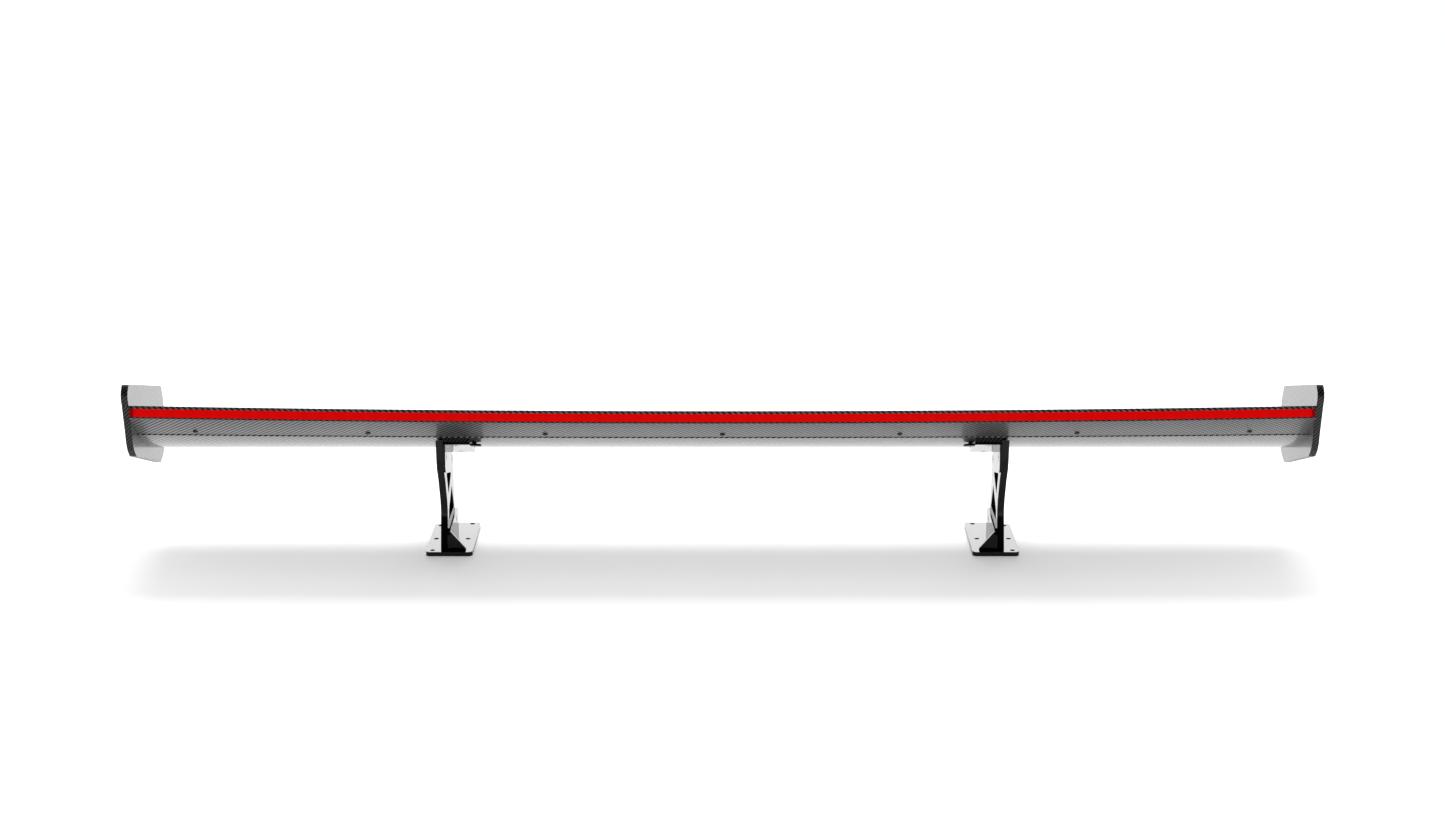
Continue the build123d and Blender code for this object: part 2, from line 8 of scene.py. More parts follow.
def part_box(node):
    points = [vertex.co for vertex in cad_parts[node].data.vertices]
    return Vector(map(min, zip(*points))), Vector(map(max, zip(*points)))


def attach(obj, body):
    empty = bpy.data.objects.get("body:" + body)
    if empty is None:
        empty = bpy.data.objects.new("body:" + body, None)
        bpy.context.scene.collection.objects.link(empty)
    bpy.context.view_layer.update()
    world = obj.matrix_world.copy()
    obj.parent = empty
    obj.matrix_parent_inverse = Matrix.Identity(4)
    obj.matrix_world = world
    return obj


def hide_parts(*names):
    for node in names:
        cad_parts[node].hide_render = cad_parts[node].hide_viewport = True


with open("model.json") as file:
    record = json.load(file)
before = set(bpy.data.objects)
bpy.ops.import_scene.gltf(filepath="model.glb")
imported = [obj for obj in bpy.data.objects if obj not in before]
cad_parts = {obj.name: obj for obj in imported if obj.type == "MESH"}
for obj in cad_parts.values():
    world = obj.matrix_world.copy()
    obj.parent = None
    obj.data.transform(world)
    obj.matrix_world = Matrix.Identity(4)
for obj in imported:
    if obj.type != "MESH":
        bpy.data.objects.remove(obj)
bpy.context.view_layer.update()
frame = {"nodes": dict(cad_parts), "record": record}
record = frame["record"]
mm = 0.001

# the blade is drawn level, then turned about the pivot onto its sloped stand
stand = {"deckSlope": 15.0, "pivotY": 150.0, "pivotZ": -70.0}
pivot = Vector(record["behaviour"]["joints"][0]["pos_m"])
pivot.x = 0.0
standTurn = Matrix.Rotation(-math.radians(stand["deckSlope"]), 3, "X")


def level(x, y, z):
    return pivot + standTurn @ (Vector((x, y - stand["pivotY"], z - stand["pivotZ"])) * mm)


def levelAim(x, y, z):
    return (standTurn @ Vector((x, y, z))).normalized()


# camera: level with the blade, behind it, on the middle line

cameraPlace = {"distance": 3378.0, "lens": 65.8, "sensor": 36.0, "farClip": 60.0}


def makeCamera():
    data = bpy.data.cameras.new("rearCamera")
    data.lens = cameraPlace["lens"]
    data.sensor_width = cameraPlace["sensor"]
    data.clip_end = cameraPlace["farClip"]
    cam = bpy.data.objects.new("rearCamera", data)
    bpy.context.collection.objects.link(cam)
    cam.location = level(0.0, -cameraPlace["distance"], 0.0)
    cam.rotation_euler = (math.radians(90.0 - stand["deckSlope"]), 0.0, 0.0)
    bpy.context.scene.camera = cam


makeCamera()
print("camera placed")


# node trees

class Number:
    # a number socket: sums written on it grow Math nodes
    def __init__(self, bench, socket):
        self.bench = bench
        self.socket = socket

    def maths(self, operation, *others):
        return self.bench.maths(operation, self, *others)

    def __add__(self, other):
        return self.bench.maths("ADD", self, other)

    def __radd__(self, other):
        return self.bench.maths("ADD", other, self)

    def __sub__(self, other):
        return self.bench.maths("SUBTRACT", self, other)

    def __rsub__(self, other):
        return self.bench.maths("SUBTRACT", other, self)

    def __mul__(self, other):
        return self.bench.maths("MULTIPLY", self, other)

    def __truediv__(self, other):
        return self.bench.maths("DIVIDE", self, other)

    def __mod__(self, other):
        return self.bench.maths("FLOORED_MODULO", self, other)

    def __lt__(self, other):
        return self.bench.maths("LESS_THAN", self, other)


class Bench:
    # one node tree, for a material, the world or a Geometry Nodes group
    def __init__(self, tree):
        self.tree = tree

    def add(self, kind, settings=None, sockets=None):
        node = self.tree.nodes.new(kind)
        for key, value in (settings or {}).items():
            setattr(node, key, value)
        for key, value in (sockets or {}).items():
            if isinstance(value, Number):
                self.tree.links.new(value.socket, node.inputs[key])
            elif isinstance(value, bpy.types.NodeSocket):
                self.tree.links.new(value, node.inputs[key])
            else:
                node.inputs[key].default_value = value
        return node

    def number(self, kind, settings=None, sockets=None, output=0):
        return Number(self, self.add(kind, settings, sockets).outputs[output])

    def maths(self, operation, *values):
        kind = "ShaderNodeMath"
        return self.number(kind, {"operation": operation}, dict(enumerate(values)))

    def split(self, vector):
        node = self.add("ShaderNodeSeparateXYZ", None, {0: vector})
        return [Number(self, out) for out in node.outputs]

    def noise(self, vector, scale, detail=3.0):
        sockets = {"Vector": vector, "Scale": scale, "Detail": detail}
        return self.number("ShaderNodeTexNoise", None, sockets)

    def blendColours(self, share, low, high):
        settings = {"data_type": "RGBA"}
        node = self.add("ShaderNodeMix", settings, {0: share, 6: (*low, 1.0), 7: (*high, 1.0)})
        return node.outputs[2]

    def ease(self, value, low, high):
        settings = {"interpolation_type": "SMOOTHSTEP"}
        return self.number("ShaderNodeMapRange", settings, {0: value, 1: low, 2: high})

    def bump(self, height, distance):
        sockets = {"Height": height, "Distance": distance, "Strength": 1.0}
        return self.add("ShaderNodeBump", None, sockets).outputs[0]

    def limit(self, value):
        return value.maths("MAXIMUM", 0.0).maths("MINIMUM", 1.0)


def newMaterial(name):
    material = bpy.data.materials.new(name)
    material.use_nodes = True
    material.node_tree.nodes.clear()
    return material, Bench(material.node_tree)


def closeMaterial(bench, sockets):
    shader = bench.add("ShaderNodeBsdfPrincipled", None, sockets)
    bench.add("ShaderNodeOutputMaterial", None, {0: shader.outputs[0]})


# carbon twill under clear coat: two tows over, two under, each tow a little crowned;
# tows that run one way get a painted sheen in their base colour, tows that run the other way stay dark

weave = {
    "wander": 0.10, "base": 0.04, "warp": 0.80, "fibres": 0.45, "patch": 0.30,
    "roughness": 0.30, "shine": 0.65, "cutDark": 0.6, "satinDull": 0.65,
}


def carbonTwill(name, cloth):
    material, bench = newMaterial(name)
    place = bench.add("ShaderNodeUVMap", {"uv_map": "cloth"}).outputs[0]
    u, v, _ = bench.split(place)
    cut = bench.number("ShaderNodeAttribute", {"attribute_name": "cutEdge"}, None, "Fac")
    satin = bench.number("ShaderNodeAttribute", {"attribute_name": "satin"}, None, "Fac")
    wander = bench.noise(place, 40.0) - 0.5
    column = u / (cloth["tow"] * mm) + wander * weave["wander"]
    row = v / (cloth["tow"] * mm) + wander * weave["wander"]
    step = column.maths("FLOOR") + row.maths("FLOOR")
    warpOver = (step % 4.0) < 1.5
    weftOver = 1.0 - warpOver
    acrossColumn = (column % 1.0) * 2.0 - 1.0
    acrossRow = (row % 1.0) * 2.0 - 1.0
    across = warpOver * acrossColumn + weftOver * acrossRow
    along = warpOver * acrossRow + weftOver * acrossColumn
    crown = 1.0 - across * across
    strand = bench.add("ShaderNodeCombineXYZ", None, {0: across * 9.0, 1: step * 3.7, 2: along})
    fibres = bench.noise(strand.outputs[0], 1.0, 1.0) - 0.5
    patch = bench.noise(place, 5.0) - 0.5
    # base colour tone: painted sheen on the warp tows, plus fibre grain and patchy tone; cut edges get less
    # of it
    sheenAndGrain = weave["base"] + warpOver * weave["warp"] + fibres * weave["fibres"] + patch * weave["patch"]
    sheenAndGrain = bench.limit(sheenAndGrain) * (1.0 - cut * weave["cutDark"])
    sockets = {
        "Base Color": bench.blendColours(sheenAndGrain, cloth["dark"], cloth["light"]),
        "Roughness": weave["roughness"] + warpOver * 0.05 + fibres * 0.12,
        "Metallic": 0.10 + warpOver * weave["shine"],
        "Normal": bench.bump(crown * 0.8 + fibres * 0.2, cloth["crown"]),
        "Coat Weight": (1.0 - cut) * (1.0 - satin * weave["satinDull"]) * cloth["coat"],
        "Coat Roughness": 0.035,
        "Coat IOR": 1.5,
        "Specular IOR Level": 0.08,
        "Specular Tint": (0.6, 0.6, 0.6, 1.0),
    }
    closeMaterial(bench, sockets)
    return material


# black coating on metal: fine orange peel and faint dust

def blackCoat(name, base, peel, ior, roughness):
    material, bench = newMaterial(name)
    place = bench.add("ShaderNodeTexCoord").outputs["Object"]
    skin = bench.noise(place, 900.0, 2.0)
    cloud = bench.noise(place, 22.0, 4.0)
    dust = bench.ease(bench.noise(place, 160.0, 6.0), 0.62, 0.8)
    sockets = {
        "Base Color": bench.blendColours(dust * 0.35 + cloud * 0.2, base, (0.03, 0.03, 0.031)),
        "Roughness": roughness + (cloud - 0.5) * 0.10 + dust * 0.12,
        "Normal": bench.bump(skin, peel),
        "IOR": ior,
        "Metallic": 0.0,
    }
    closeMaterial(bench, sockets)
    return material


# bare or plated metal with fine turning and brushing marks

def bareMetal(name, dark, light, roughness, stretch):
    material, bench = newMaterial(name)
    place = bench.add("ShaderNodeTexCoord").outputs["Object"]
    long = bench.add("ShaderNodeMapping", None, {"Vector": place, "Scale": stretch}).outputs[0]
    brush = bench.noise(long, 400.0, 3.0)
    cloud = bench.noise(place, 60.0, 4.0)
    sockets = {
        "Base Color": bench.blendColours(brush * 0.5 + cloud * 0.5, dark, light),
        "Roughness": roughness + (brush - 0.5) * 0.2 + (cloud - 0.5) * 0.1,
        "Normal": bench.bump(brush, 0.00002),
        "Metallic": 1.0,
    }
    closeMaterial(bench, sockets)
    return material


# matt grained material for foam, rubber, moulded plastic and board

def grained(name, dark, light, scale, depth, roughness):
    material, bench = newMaterial(name)
    place = bench.add("ShaderNodeTexCoord").outputs["Object"]
    cells = bench.number("ShaderNodeTexVoronoi", None, {"Vector": place, "Scale": scale})
    cloud = bench.noise(place, scale * 0.12, 4.0)
    sockets = {
        "Base Color": bench.blendColours(bench.limit(cells * 0.6 + cloud * 0.6), dark, light),
        "Roughness": roughness + (cloud - 0.5) * 0.15,
        "Normal": bench.bump(cells, depth),
    }
    closeMaterial(bench, sockets)
    return material


# glowing red lens: fine upright flutes and a slow change of colour over the diodes

# the cap colours are a dim painted glow for the unlit ends of the lens
lensLook = {
    "red": (0.631, 0.001, 0.001), "deep": (0.52, 0.001, 0.001), "strength": 0.92,
    "capRed": (0.16, 0.002, 0.002), "capDeep": (0.10, 0.001, 0.001), "ledPitch": 0.024, "flutePitch": 0.0015,
}


def glowingLens(name, low, high, strength):
    material, bench = newMaterial(name)
    place = bench.add("ShaderNodeTexCoord").outputs["Object"]
    x, _, _ = bench.split(place)
    wave = (x * (2 * math.pi / lensLook["ledPitch"])).maths("COSINE")
    flute = (x * (2 * math.pi / lensLook["flutePitch"])).maths("COSINE")
    glow = 0.75 + wave * 0.12 + flute * 0.05
    sockets = {
        # the base colour follows the glow too: painted lighter over each diode and along the flutes
        "Base Color": bench.blendColours(glow, (0.10, 0.001, 0.001), (0.2, 0.002, 0.002)),
        "Emission Color": bench.blendColours(glow, low, high),
        "Emission Strength": strength,
        "Roughness": 0.16,
        "Normal": bench.bump(flute, 0.00002),
        "IOR": 1.25,
    }
    closeMaterial(bench, sockets)
    return material


# tow width in millimetres, height of a tow's crown in metres

# dark and light bound the twill's base colour; its light end carries the painted sheen of the warp tows
cloths = {
    "skin": {
        "tow": 1.9, "crown": 0.00014, "coat": 0.6, "dark": (0.008, 0.008, 0.009),
        "light": (0.33, 0.33, 0.34),
    },
    "plate": {
        "tow": 1.25, "crown": 0.00006, "coat": 0.72, "dark": (0.004, 0.004, 0.004),
        "light": (0.20, 0.20, 0.205),
    },
    "raw": {
        "tow": 1.25, "crown": 0.00008, "coat": 0.1, "dark": (0.008, 0.008, 0.008),
        "light": (0.10, 0.10, 0.104),
    },
}
looks = {
    "carbon_skin": carbonTwill("clearCoatedTwill", cloths["skin"]),
    "carbon_plate": carbonTwill("plateTwill", cloths["plate"]),
    "carbon_raw": carbonTwill("satinLaminate", cloths["raw"]),
    "metal_black": blackCoat("glossBlackMetal", (0.002, 0.002, 0.0022), 0.000004, 1.28, 0.08),
    "screw_black": blackCoat("blackOxide", (0.008, 0.008, 0.008), 0.000008, 1.5, 0.24),
    "steel_plated": bareMetal("zincPlate", (0.42, 0.42, 0.43), (0.66, 0.66, 0.67), 0.30, (1.0, 4.0, 1.0)),
    "inner_aluminium": bareMetal(
        "machinedAluminium", (0.6, 0.6, 0.61), (0.8, 0.8, 0.81), 0.33, (0.1, 3.0, 3.0)
    ),
    "bush_bronze": bareMetal(
        "sinteredBronze", (0.42, 0.27, 0.12), (0.62, 0.42, 0.22), 0.42, (1.0, 1.0, 1.0)
    ),
    "core_foam": grained("coreFoam", (0.45, 0.38, 0.26), (0.80, 0.72, 0.56), 900.0, 0.0003, 0.85),
    "rubber_black": grained(
        "mattRubber", (0.012, 0.012, 0.012), (0.035, 0.035, 0.034), 1500.0, 0.00004, 0.62
    ),
    "housing_black": grained("mouldedBlack", (0.01, 0.01, 0.01), (0.03, 0.03, 0.03), 1800.0, 0.00003, 0.5),
    "board_green": grained("solderMask", (0.008, 0.07, 0.02), (0.03, 0.2, 0.07), 500.0, 0.00002, 0.3),
    "led_white": grained("diodeResin", (0.75, 0.65, 0.35), (0.9, 0.86, 0.7), 700.0, 0.00002, 0.3),
    "lens_red": glowingLens("redLens", lensLook["deep"], lensLook["red"], lensLook["strength"]),
    # no diodes sit behind the lens end caps; their dim red glow is painted light
    "lens_dark_red": glowingLens("darkRedCap", lensLook["capDeep"], lensLook["capRed"], 1.0),
}
slotOf = {part["node"]: part["material_slot"] for part in record["subparts"]}
for node, shown in frame["nodes"].items():
    shown.data.materials.clear()
    shown.data.materials.append(looks[slotOf[node]])
print("materials made:", len(looks))


# pieces

def finishPiece(obj, node, body):
    obj.data.materials.clear()
    obj.data.materials.append(looks[slotOf[node]])
    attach(obj, body)
    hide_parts(node)
    return obj


def bodyOf(node):
    for body, nodes in record["behaviour"]["bodies"].items():
        if node in nodes:
            return body


def newObject(name, mesh):
    obj = bpy.data.objects.new(name, mesh)
    bpy.context.collection.objects.link(obj)
    return obj


def applyModifiers(obj):
    graph = bpy.context.evaluated_depsgraph_get()
    mesh = bpy.data.meshes.new_from_object(obj.evaluated_get(graph))
    obj.modifiers.clear()
    old = obj.data
    obj.data = mesh
    bpy.data.meshes.remove(old)


def roundEdges(obj, width, degrees):
    bevel = obj.modifiers.new("edge", "BEVEL")
    bevel.width = width
    bevel.segments = 2
    bevel.limit_method = "ANGLE"
    bevel.angle_limit = math.radians(degrees)
    applyModifiers(obj)


# smooth shading that keeps big faces flat beside their rounded edges

def smoothByAngle(obj, degrees):
    for face in obj.data.polygons:
        face.use_smooth = True
    obj.data.set_sharp_from_angle(angle=math.radians(degrees))
    weighted = obj.modifiers.new("weighted", "WEIGHTED_NORMAL")
    weighted.mode = "FACE_AREA"
    weighted.weight = 100
    weighted.keep_sharp = True
    applyModifiers(obj)


# cloth map in metres: flat sides by Y and Z, cut edges by their own run and X, and marked as cut

def wrapCloth(mesh):
    layer = mesh.uv_layers.get("cloth") or mesh.uv_layers.new(name="cloth")
    marks = mesh.attributes.new("cutEdge", "FLOAT", "FACE")
    for face in mesh.polygons:
        side = abs(face.normal.x) > 0.7
        marks.data[face.index].value = 0.0 if side else 1.0
        run = Vector((0.0, -face.normal.z, face.normal.y))
        run = run.normalized() if run.length > 0.01 else Vector((0.0, 1.0, 0.0))
        for loop in face.loop_indices:
            place = mesh.vertices[mesh.loops[loop].vertex_index].co
            layer.data[loop].uv = (place.y, place.z) if side else (run.dot(place), place.x)


# a CAD piece copied, welded, and given a fine machined edge

def weldedMesh(node):
    work = bmesh.new()
    work.from_mesh(frame["nodes"][node].data)
    bmesh.ops.remove_doubles(work, verts=work.verts, dist=0.000002)
    return work


def edgedCopy(node, name, width):
    work = weldedMesh(node)
    flat = math.radians(0.6)
    bmesh.ops.dissolve_limit(
        work, angle_limit=flat, use_dissolve_boundaries=False, verts=work.verts, edges=work.edges
    )
    mesh = bpy.data.meshes.new(name)
    work.to_mesh(mesh)
    work.free()
    obj = newObject(name, mesh)
    if width:
        roundEdges(obj, width, 38.0)
    smoothByAngle(obj, 32.0)
    wrapCloth(obj.data)
    return finishPiece(obj, node, bodyOf(node))


# width of each piece's rounded edge, in metres

edged = {
    "upright_left": 0.0004, "upright_right": 0.0004, "foot_left": 0.0004, "foot_right": 0.0004,
    "wing_bracket_left": 0.0003, "wing_bracket_right": 0.0003, "end_plate_left": 0.0007,
    "end_plate_right": 0.0007, "saddle_pad_left": 0.0002, "saddle_pad_right": 0.0002,
    "foot_pad_left": 0.0001, "foot_pad_right": 0.0001, "bracket_nuts": 0.0003, "bracket_washers": 0.00015,
    "pivot_bushes": 0.0, "cable_grommet": 0.0003,
}


def camelName(node):
    head, *rest = node.split("_")
    return head + "".join(word.capitalize() for word in rest)


for node, width in edged.items():
    edgedCopy(node, camelName(node), width)
print("edged pieces:", len(edged))


# the blade's section, in millimetres from the tail forward

blade = {
    "halfSpan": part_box("upper_skin")[1].x / mm, "tipTwist": 2.9,
    "tailY": 8.0, "tailTopZ": -5.8, "tailBottomZ": -22.0, "noseY": 218.0, "noseZ": -38.0,
    "crestY": 190.0, "crestZ": -28.0, "keelY": 144.0, "keelZ": -54.4,
    "seamY": 60.0, "seamZ": -41.0, "seamGap": 0.4, "skin": 2.0, "lip": 3.8,
    "panelStep": 0.8, "panelTail": 1.5, "panelTaperY": 20.0, "lipRootY": 40.0,
    "stations": 96, "pointsAcross": 16, "edge": 0.25,
}


def topZ(y, depth):
    b = blade
    if y <= b["crestY"]:
        share = (b["crestY"] - y) / (b["crestY"] - b["tailY"])
        return b["crestZ"] + (b["tailTopZ"] - b["crestZ"]) * share ** 2 - depth
    share = (y - b["crestY"]) / (b["noseY"] - depth - b["crestY"])
    return b["noseZ"] + (b["crestZ"] - b["noseZ"] - depth) * math.sqrt(max(0.0, 1 - share ** 2))


def bottomZ(y, depth):
    b = blade
    sag = b["seamZ"] - b["keelZ"]
    if y > b["keelY"]:
        share = (y - b["keelY"]) / (b["noseY"] - depth - b["keelY"])
        return b["noseZ"] - (b["noseZ"] - b["keelZ"] - depth) * math.sqrt(max(0.0, 1 - share ** 2))
    if y >= b["seamY"]:
        return b["keelZ"] + sag * ((b["keelY"] - y) / (b["keelY"] - b["seamY"])) ** 2 + depth
    slope = 2 * sag / (b["keelY"] - b["seamY"])
    full = b["seamY"] - b["tailY"]
    bow = (b["tailBottomZ"] - b["seamZ"] - slope * full) / full ** 2
    run = b["seamY"] - y
    return b["seamZ"] + slope * run + bow * run ** 2 + depth


def lipDepth(y):
    b = blade
    share = max(0.0, b["lipRootY"] - y) / (b["lipRootY"] - b["tailY"])
    return b["skin"] + (b["lip"] - b["skin"]) * share ** 2


def panelOutside(y):
    b = blade
    return b["panelStep"] * (y - b["tailY"]) / (b["seamY"] - b["tailY"])


def panelInside(y):
    b = blade
    share = max(0.0, b["panelTaperY"] - y) / (b["panelTaperY"] - b["tailY"])
    return b["skin"] - (b["skin"] - b["panelTail"]) * share


def skinDepth(y):
    return blade["skin"]


def noDepth(y):
    return 0.0


def spread(y0, y1, toNose=False):
    count = blade["pointsAcross"]
    shares = [i / count for i in range(count + 1)]
    if toNose:
        shares = [math.sin(s * math.pi / 2) for s in shares]
    return [y0 + (y1 - y0) * s for s in shares]


def surfaceLine(height, turnY, y0, y1, depth):
    if y1 <= turnY:
        return [(y, height(y, depth(y))) for y in spread(y0, y1)]
    rear = [(y, height(y, depth(y))) for y in spread(y0, turnY)]
    front = [(y, height(y, depth(y))) for y in spread(turnY, y1 - depth(y1), True)]
    return rear + front[1:]


def twisted(x, y, z):
    angle = math.radians(blade["tipTwist"] * (x / blade["halfSpan"]) ** 2)
    dy = y - blade["keelY"]
    dz = z - blade["keelZ"]
    return level(
        x,
        blade["keelY"] + dy * math.cos(angle) + dz * math.sin(angle),
        blade["keelZ"] + dz * math.cos(angle) - dy * math.sin(angle),
    )


# a closed section drawn along the span, with its cloth map by span and by arc

def drawAlong(name, section, x0, x1, count, edge):
    mesh = bpy.data.meshes.new(name)
    arc = [0.0]
    for a, b in zip(section, section[1:] + section[:1]):
        arc.append(arc[-1] + math.dist(a, b))
    xs = [x0 + (x1 - x0) * i / count for i in range(count + 1)]
    verts = [twisted(x, y, z) for x in xs for y, z in section]
    across = len(section)
    faces = []
    places = []
    for i in range(count):
        for j in range(across):
            k = (j + 1) % across
            near, far = xs[i], xs[i + 1]
            faces.append((i * across + j, (i + 1) * across + j, (i + 1) * across + k, i * across + k))
            places.append([(near, arc[j]), (far, arc[j]), (far, arc[j + 1]), (near, arc[j + 1])])
    faces.append(tuple(range(across)))
    places.append([(y, z) for y, z in section])
    faces.append(tuple(count * across + j for j in reversed(range(across))))
    places.append([(y, z) for y, z in reversed(section)])
    mesh.from_pydata(verts, [], faces)
    layer = mesh.uv_layers.new(name="cloth")
    flat = [spot for face in places for spot in face]
    for loop, (u, v) in zip(layer.data, flat):
        loop.uv = (u * mm, v * mm)
    work = bmesh.new()
    work.from_mesh(mesh)
    bmesh.ops.recalc_face_normals(work, faces=work.faces)
    work.to_mesh(mesh)
    work.free()
    obj = newObject(name, mesh)
    roundEdges(obj, edge * mm, 40.0)
    smoothByAngle(obj, 35.0)
    return obj


def shellSection(height, turnY, y0, y1, outside, inside):
    outer = surfaceLine(height, turnY, y0, y1, outside)
    inner = surfaceLine(height, turnY, y0, y1, inside)
    return outer + inner[::-1]


def makeBladeShells():
    b = blade
    front = b["seamY"] + b["seamGap"]
    rear = b["seamY"] - b["seamGap"]
    sections = {
        "upper_skin": shellSection(topZ, b["crestY"], b["tailY"], b["noseY"], noDepth, lipDepth),
        "lower_skin": shellSection(bottomZ, b["keelY"], front, b["noseY"], noDepth, skinDepth),
        "rear_panel": shellSection(bottomZ, b["keelY"], b["tailY"], rear, panelOutside, panelInside),
    }
    for node, section in sections.items():
        shell = drawAlong(camelName(node), section, -b["halfSpan"], b["halfSpan"], b["stations"], b["edge"])
        satin = shell.data.attributes.new("satin", "FLOAT", "FACE")
        satin.data.foreach_set("value", [float(node == "rear_panel")] * len(shell.data.polygons))
        finishPiece(shell, node, bodyOf(node))


lens = {
    "faceY": 8.3, "depth": 3.2, "topZ": -9.8, "bottomZ": -19.9, "backDropTop": 0.8, "backDropBottom": 0.2,
    "halfSpan": 756.0, "crown": 0.25, "steps": 6, "edge": 0.2,
}


def lensSection():
    backY = lens["faceY"] + lens["depth"]
    face = []
    for i in range(lens["steps"] + 1):
        share = i / lens["steps"]
        bulge = lens["crown"] * (1 - (2 * share - 1) ** 2)
        face.append((lens["faceY"] - bulge, lens["bottomZ"] + (lens["topZ"] - lens["bottomZ"]) * share))
    backTop = (backY, lens["topZ"] - lens["backDropTop"])
    backBottom = (backY, lens["bottomZ"] - lens["backDropBottom"])
    return face + [backTop, backBottom]


def makeLens():
    section = lensSection()
    half = lens["halfSpan"]
    strip = drawAlong("lightLens", section, -half, half, blade["stations"], lens["edge"])
    finishPiece(strip, "light_lens", bodyOf("light_lens"))
    caps = []
    for sign in (-1, 1):
        ends = sorted((sign * half, sign * blade["halfSpan"]))
        caps.append(drawAlong(f"lensCap{sign + 1}", section, *ends, 1, lens["edge"]))
    chosen = {"active_object": caps[0], "selected_editable_objects": caps, "selected_objects": caps}
    with bpy.context.temp_override(**chosen):
        bpy.ops.object.join()
    caps[0].name = "lensEndCaps"
    finishPiece(caps[0], "lens_end_caps", bodyOf("lens_end_caps"))


makeBladeShells()
makeLens()
print("blade and lens drawn")


# socket-head bolts and screws: one Geometry Nodes tree, set out on points that carry their aim

boltSides = {"head": 28, "shank": 20, "key": 6}
boltLabels = (
    "Head Radius", "Head Foot Radius", "Head Height", "Rim", "Socket Radius", "Socket Depth", "Shank Radius"
)


def socketBoltTree():
    tree = bpy.data.node_groups.new("socketBolts", "GeometryNodeTree")
    face = tree.interface
    face.new_socket("Geometry", in_out="INPUT", socket_type="NodeSocketGeometry")
    for label in ("Length", *boltLabels):
        face.new_socket(label, in_out="INPUT", socket_type="NodeSocketFloat")
    face.new_socket("Finish", in_out="INPUT", socket_type="NodeSocketMaterial")
    face.new_socket("Geometry", in_out="OUTPUT", socket_type="NodeSocketGeometry")
    bench = Bench(tree)
    given = bench.add("NodeGroupInput").outputs

    def size(label):
        return Number(bench, given[label])

    def dropped(body, drop):
        spot = bench.add("ShaderNodeCombineXYZ", None, {2: drop})
        sockets = {"Geometry": body.outputs[0], "Translation": spot.outputs[0]}
        return bench.add("GeometryNodeTransform", None, sockets).outputs[0]

    def disc(sides, radius, depth, drop):
        sockets = {"Vertices": sides, "Radius": radius, "Depth": depth}
        return dropped(bench.add("GeometryNodeMeshCylinder", None, sockets), drop)

    def cone(low, high, depth, drop):
        sockets = {"Vertices": boltSides["head"], "Radius Top": high, "Radius Bottom": low, "Depth": depth}
        return dropped(bench.add("GeometryNodeMeshCone", None, sockets), drop)

    rim = size("Rim")
    wide = size("Head Radius")
    tall = size("Head Height")
    head = cone(size("Head Foot Radius"), wide, tall - rim, 0.0 - tall)
    crown = cone(wide, wide - rim, rim, 0.0 - rim)
    shankLength = size("Length") - tall
    shank = disc(boltSides["shank"], size("Shank Radius"), shankLength, 0.0 - tall - shankLength * 0.5)
    key = disc(boltSides["key"], size("Socket Radius"), size("Socket Depth") * 2.0, 0.0)
    solid = bench.add("GeometryNodeMeshBoolean", {"operation": "UNION", "solver": "EXACT"}, None)
    for part in (head, crown, shank):
        tree.links.new(part, solid.inputs["Mesh 2"])
    settings = {"operation": "DIFFERENCE", "solver": "EXACT"}
    cut = bench.add("GeometryNodeMeshBoolean", settings, {"Mesh 1": solid.outputs[0]})
    tree.links.new(key, cut.inputs["Mesh 2"])
    vector = {"data_type": "FLOAT_VECTOR"}
    aim = bench.add("GeometryNodeInputNamedAttribute", vector, {"Name": "aim"}).outputs[0]
    turn = bench.add("FunctionNodeAlignRotationToVector", {"axis": "Z"}, {"Vector": aim}).outputs[0]
    sockets = {"Points": given["Geometry"], "Instance": cut.outputs[0], "Rotation": turn}
    placed = bench.add("GeometryNodeInstanceOnPoints", None, sockets).outputs[0]
    real = bench.add("GeometryNodeRealizeInstances", None, {0: placed}).outputs[0]
    sockets = {"Geometry": real, "Material": given["Finish"]}
    done = bench.add("GeometryNodeSetMaterial", None, sockets).outputs[0]
    bench.add("NodeGroupOutput", None, {0: done})
    return tree


# the separate solids of a CAD node, each as its list of corners

def solidsOf(node):
    work = weldedMesh(node)
    left = set(work.verts)
    solids = []
    while left:
        stack = [left.pop()]
        found = []
        while stack:
            vert = stack.pop()
            found.append(vert.co.copy())
            for edge in vert.link_edges:
                other = edge.other_vert(vert)
                if other in left:
                    left.remove(other)
                    stack.append(other)
        solids.append(found)
    work.free()
    return solids


def boltPoints(node, aimFor):
    heads = []
    for corners in solidsOf(node):
        middle = sum(corners, Vector()) / len(corners)
        aim = aimFor(middle)
        sideways = aim.orthogonal().normalized()
        other = aim.cross(sideways)
        low = min(c.dot(aim) for c in corners)
        high = max(c.dot(aim) for c in corners)
        axisPoint = aim * high
        for way in (sideways, other):
            reach = [c.dot(way) for c in corners]
            axisPoint += way * ((min(reach) + max(reach)) / 2)
        heads.append((axisPoint, aim, high - low))
    return heads


boltTree = socketBoltTree()


def setBolts(node, size, aimFor):
    heads = boltPoints(node, aimFor)
    mesh = bpy.data.meshes.new(camelName(node))
    mesh.from_pydata([place for place, aim, length in heads], [], [])
    layer = mesh.attributes.new("aim", "FLOAT_VECTOR", "POINT")
    for item, (place, aim, length) in zip(layer.data, heads):
        item.vector = aim
    obj = newObject(camelName(node), mesh)
    modifier = obj.modifiers.new("bolts", "NODES")
    modifier.node_group = boltTree
    values = {label: value * mm for label, value in zip(boltLabels, size)}
    values["Length"] = max(length for place, aim, length in heads)
    values["Finish"] = looks[slotOf[node]]
    for item in boltTree.interface.items_tree:
        if item.in_out == "INPUT" and item.name in values:
            modifier[item.identifier] = values[item.name]
    applyModifiers(obj)
    smoothByAngle(obj, 30.0)
    finishPiece(obj, node, bodyOf(node))


# sizes in millimetres, in the order of boltLabels

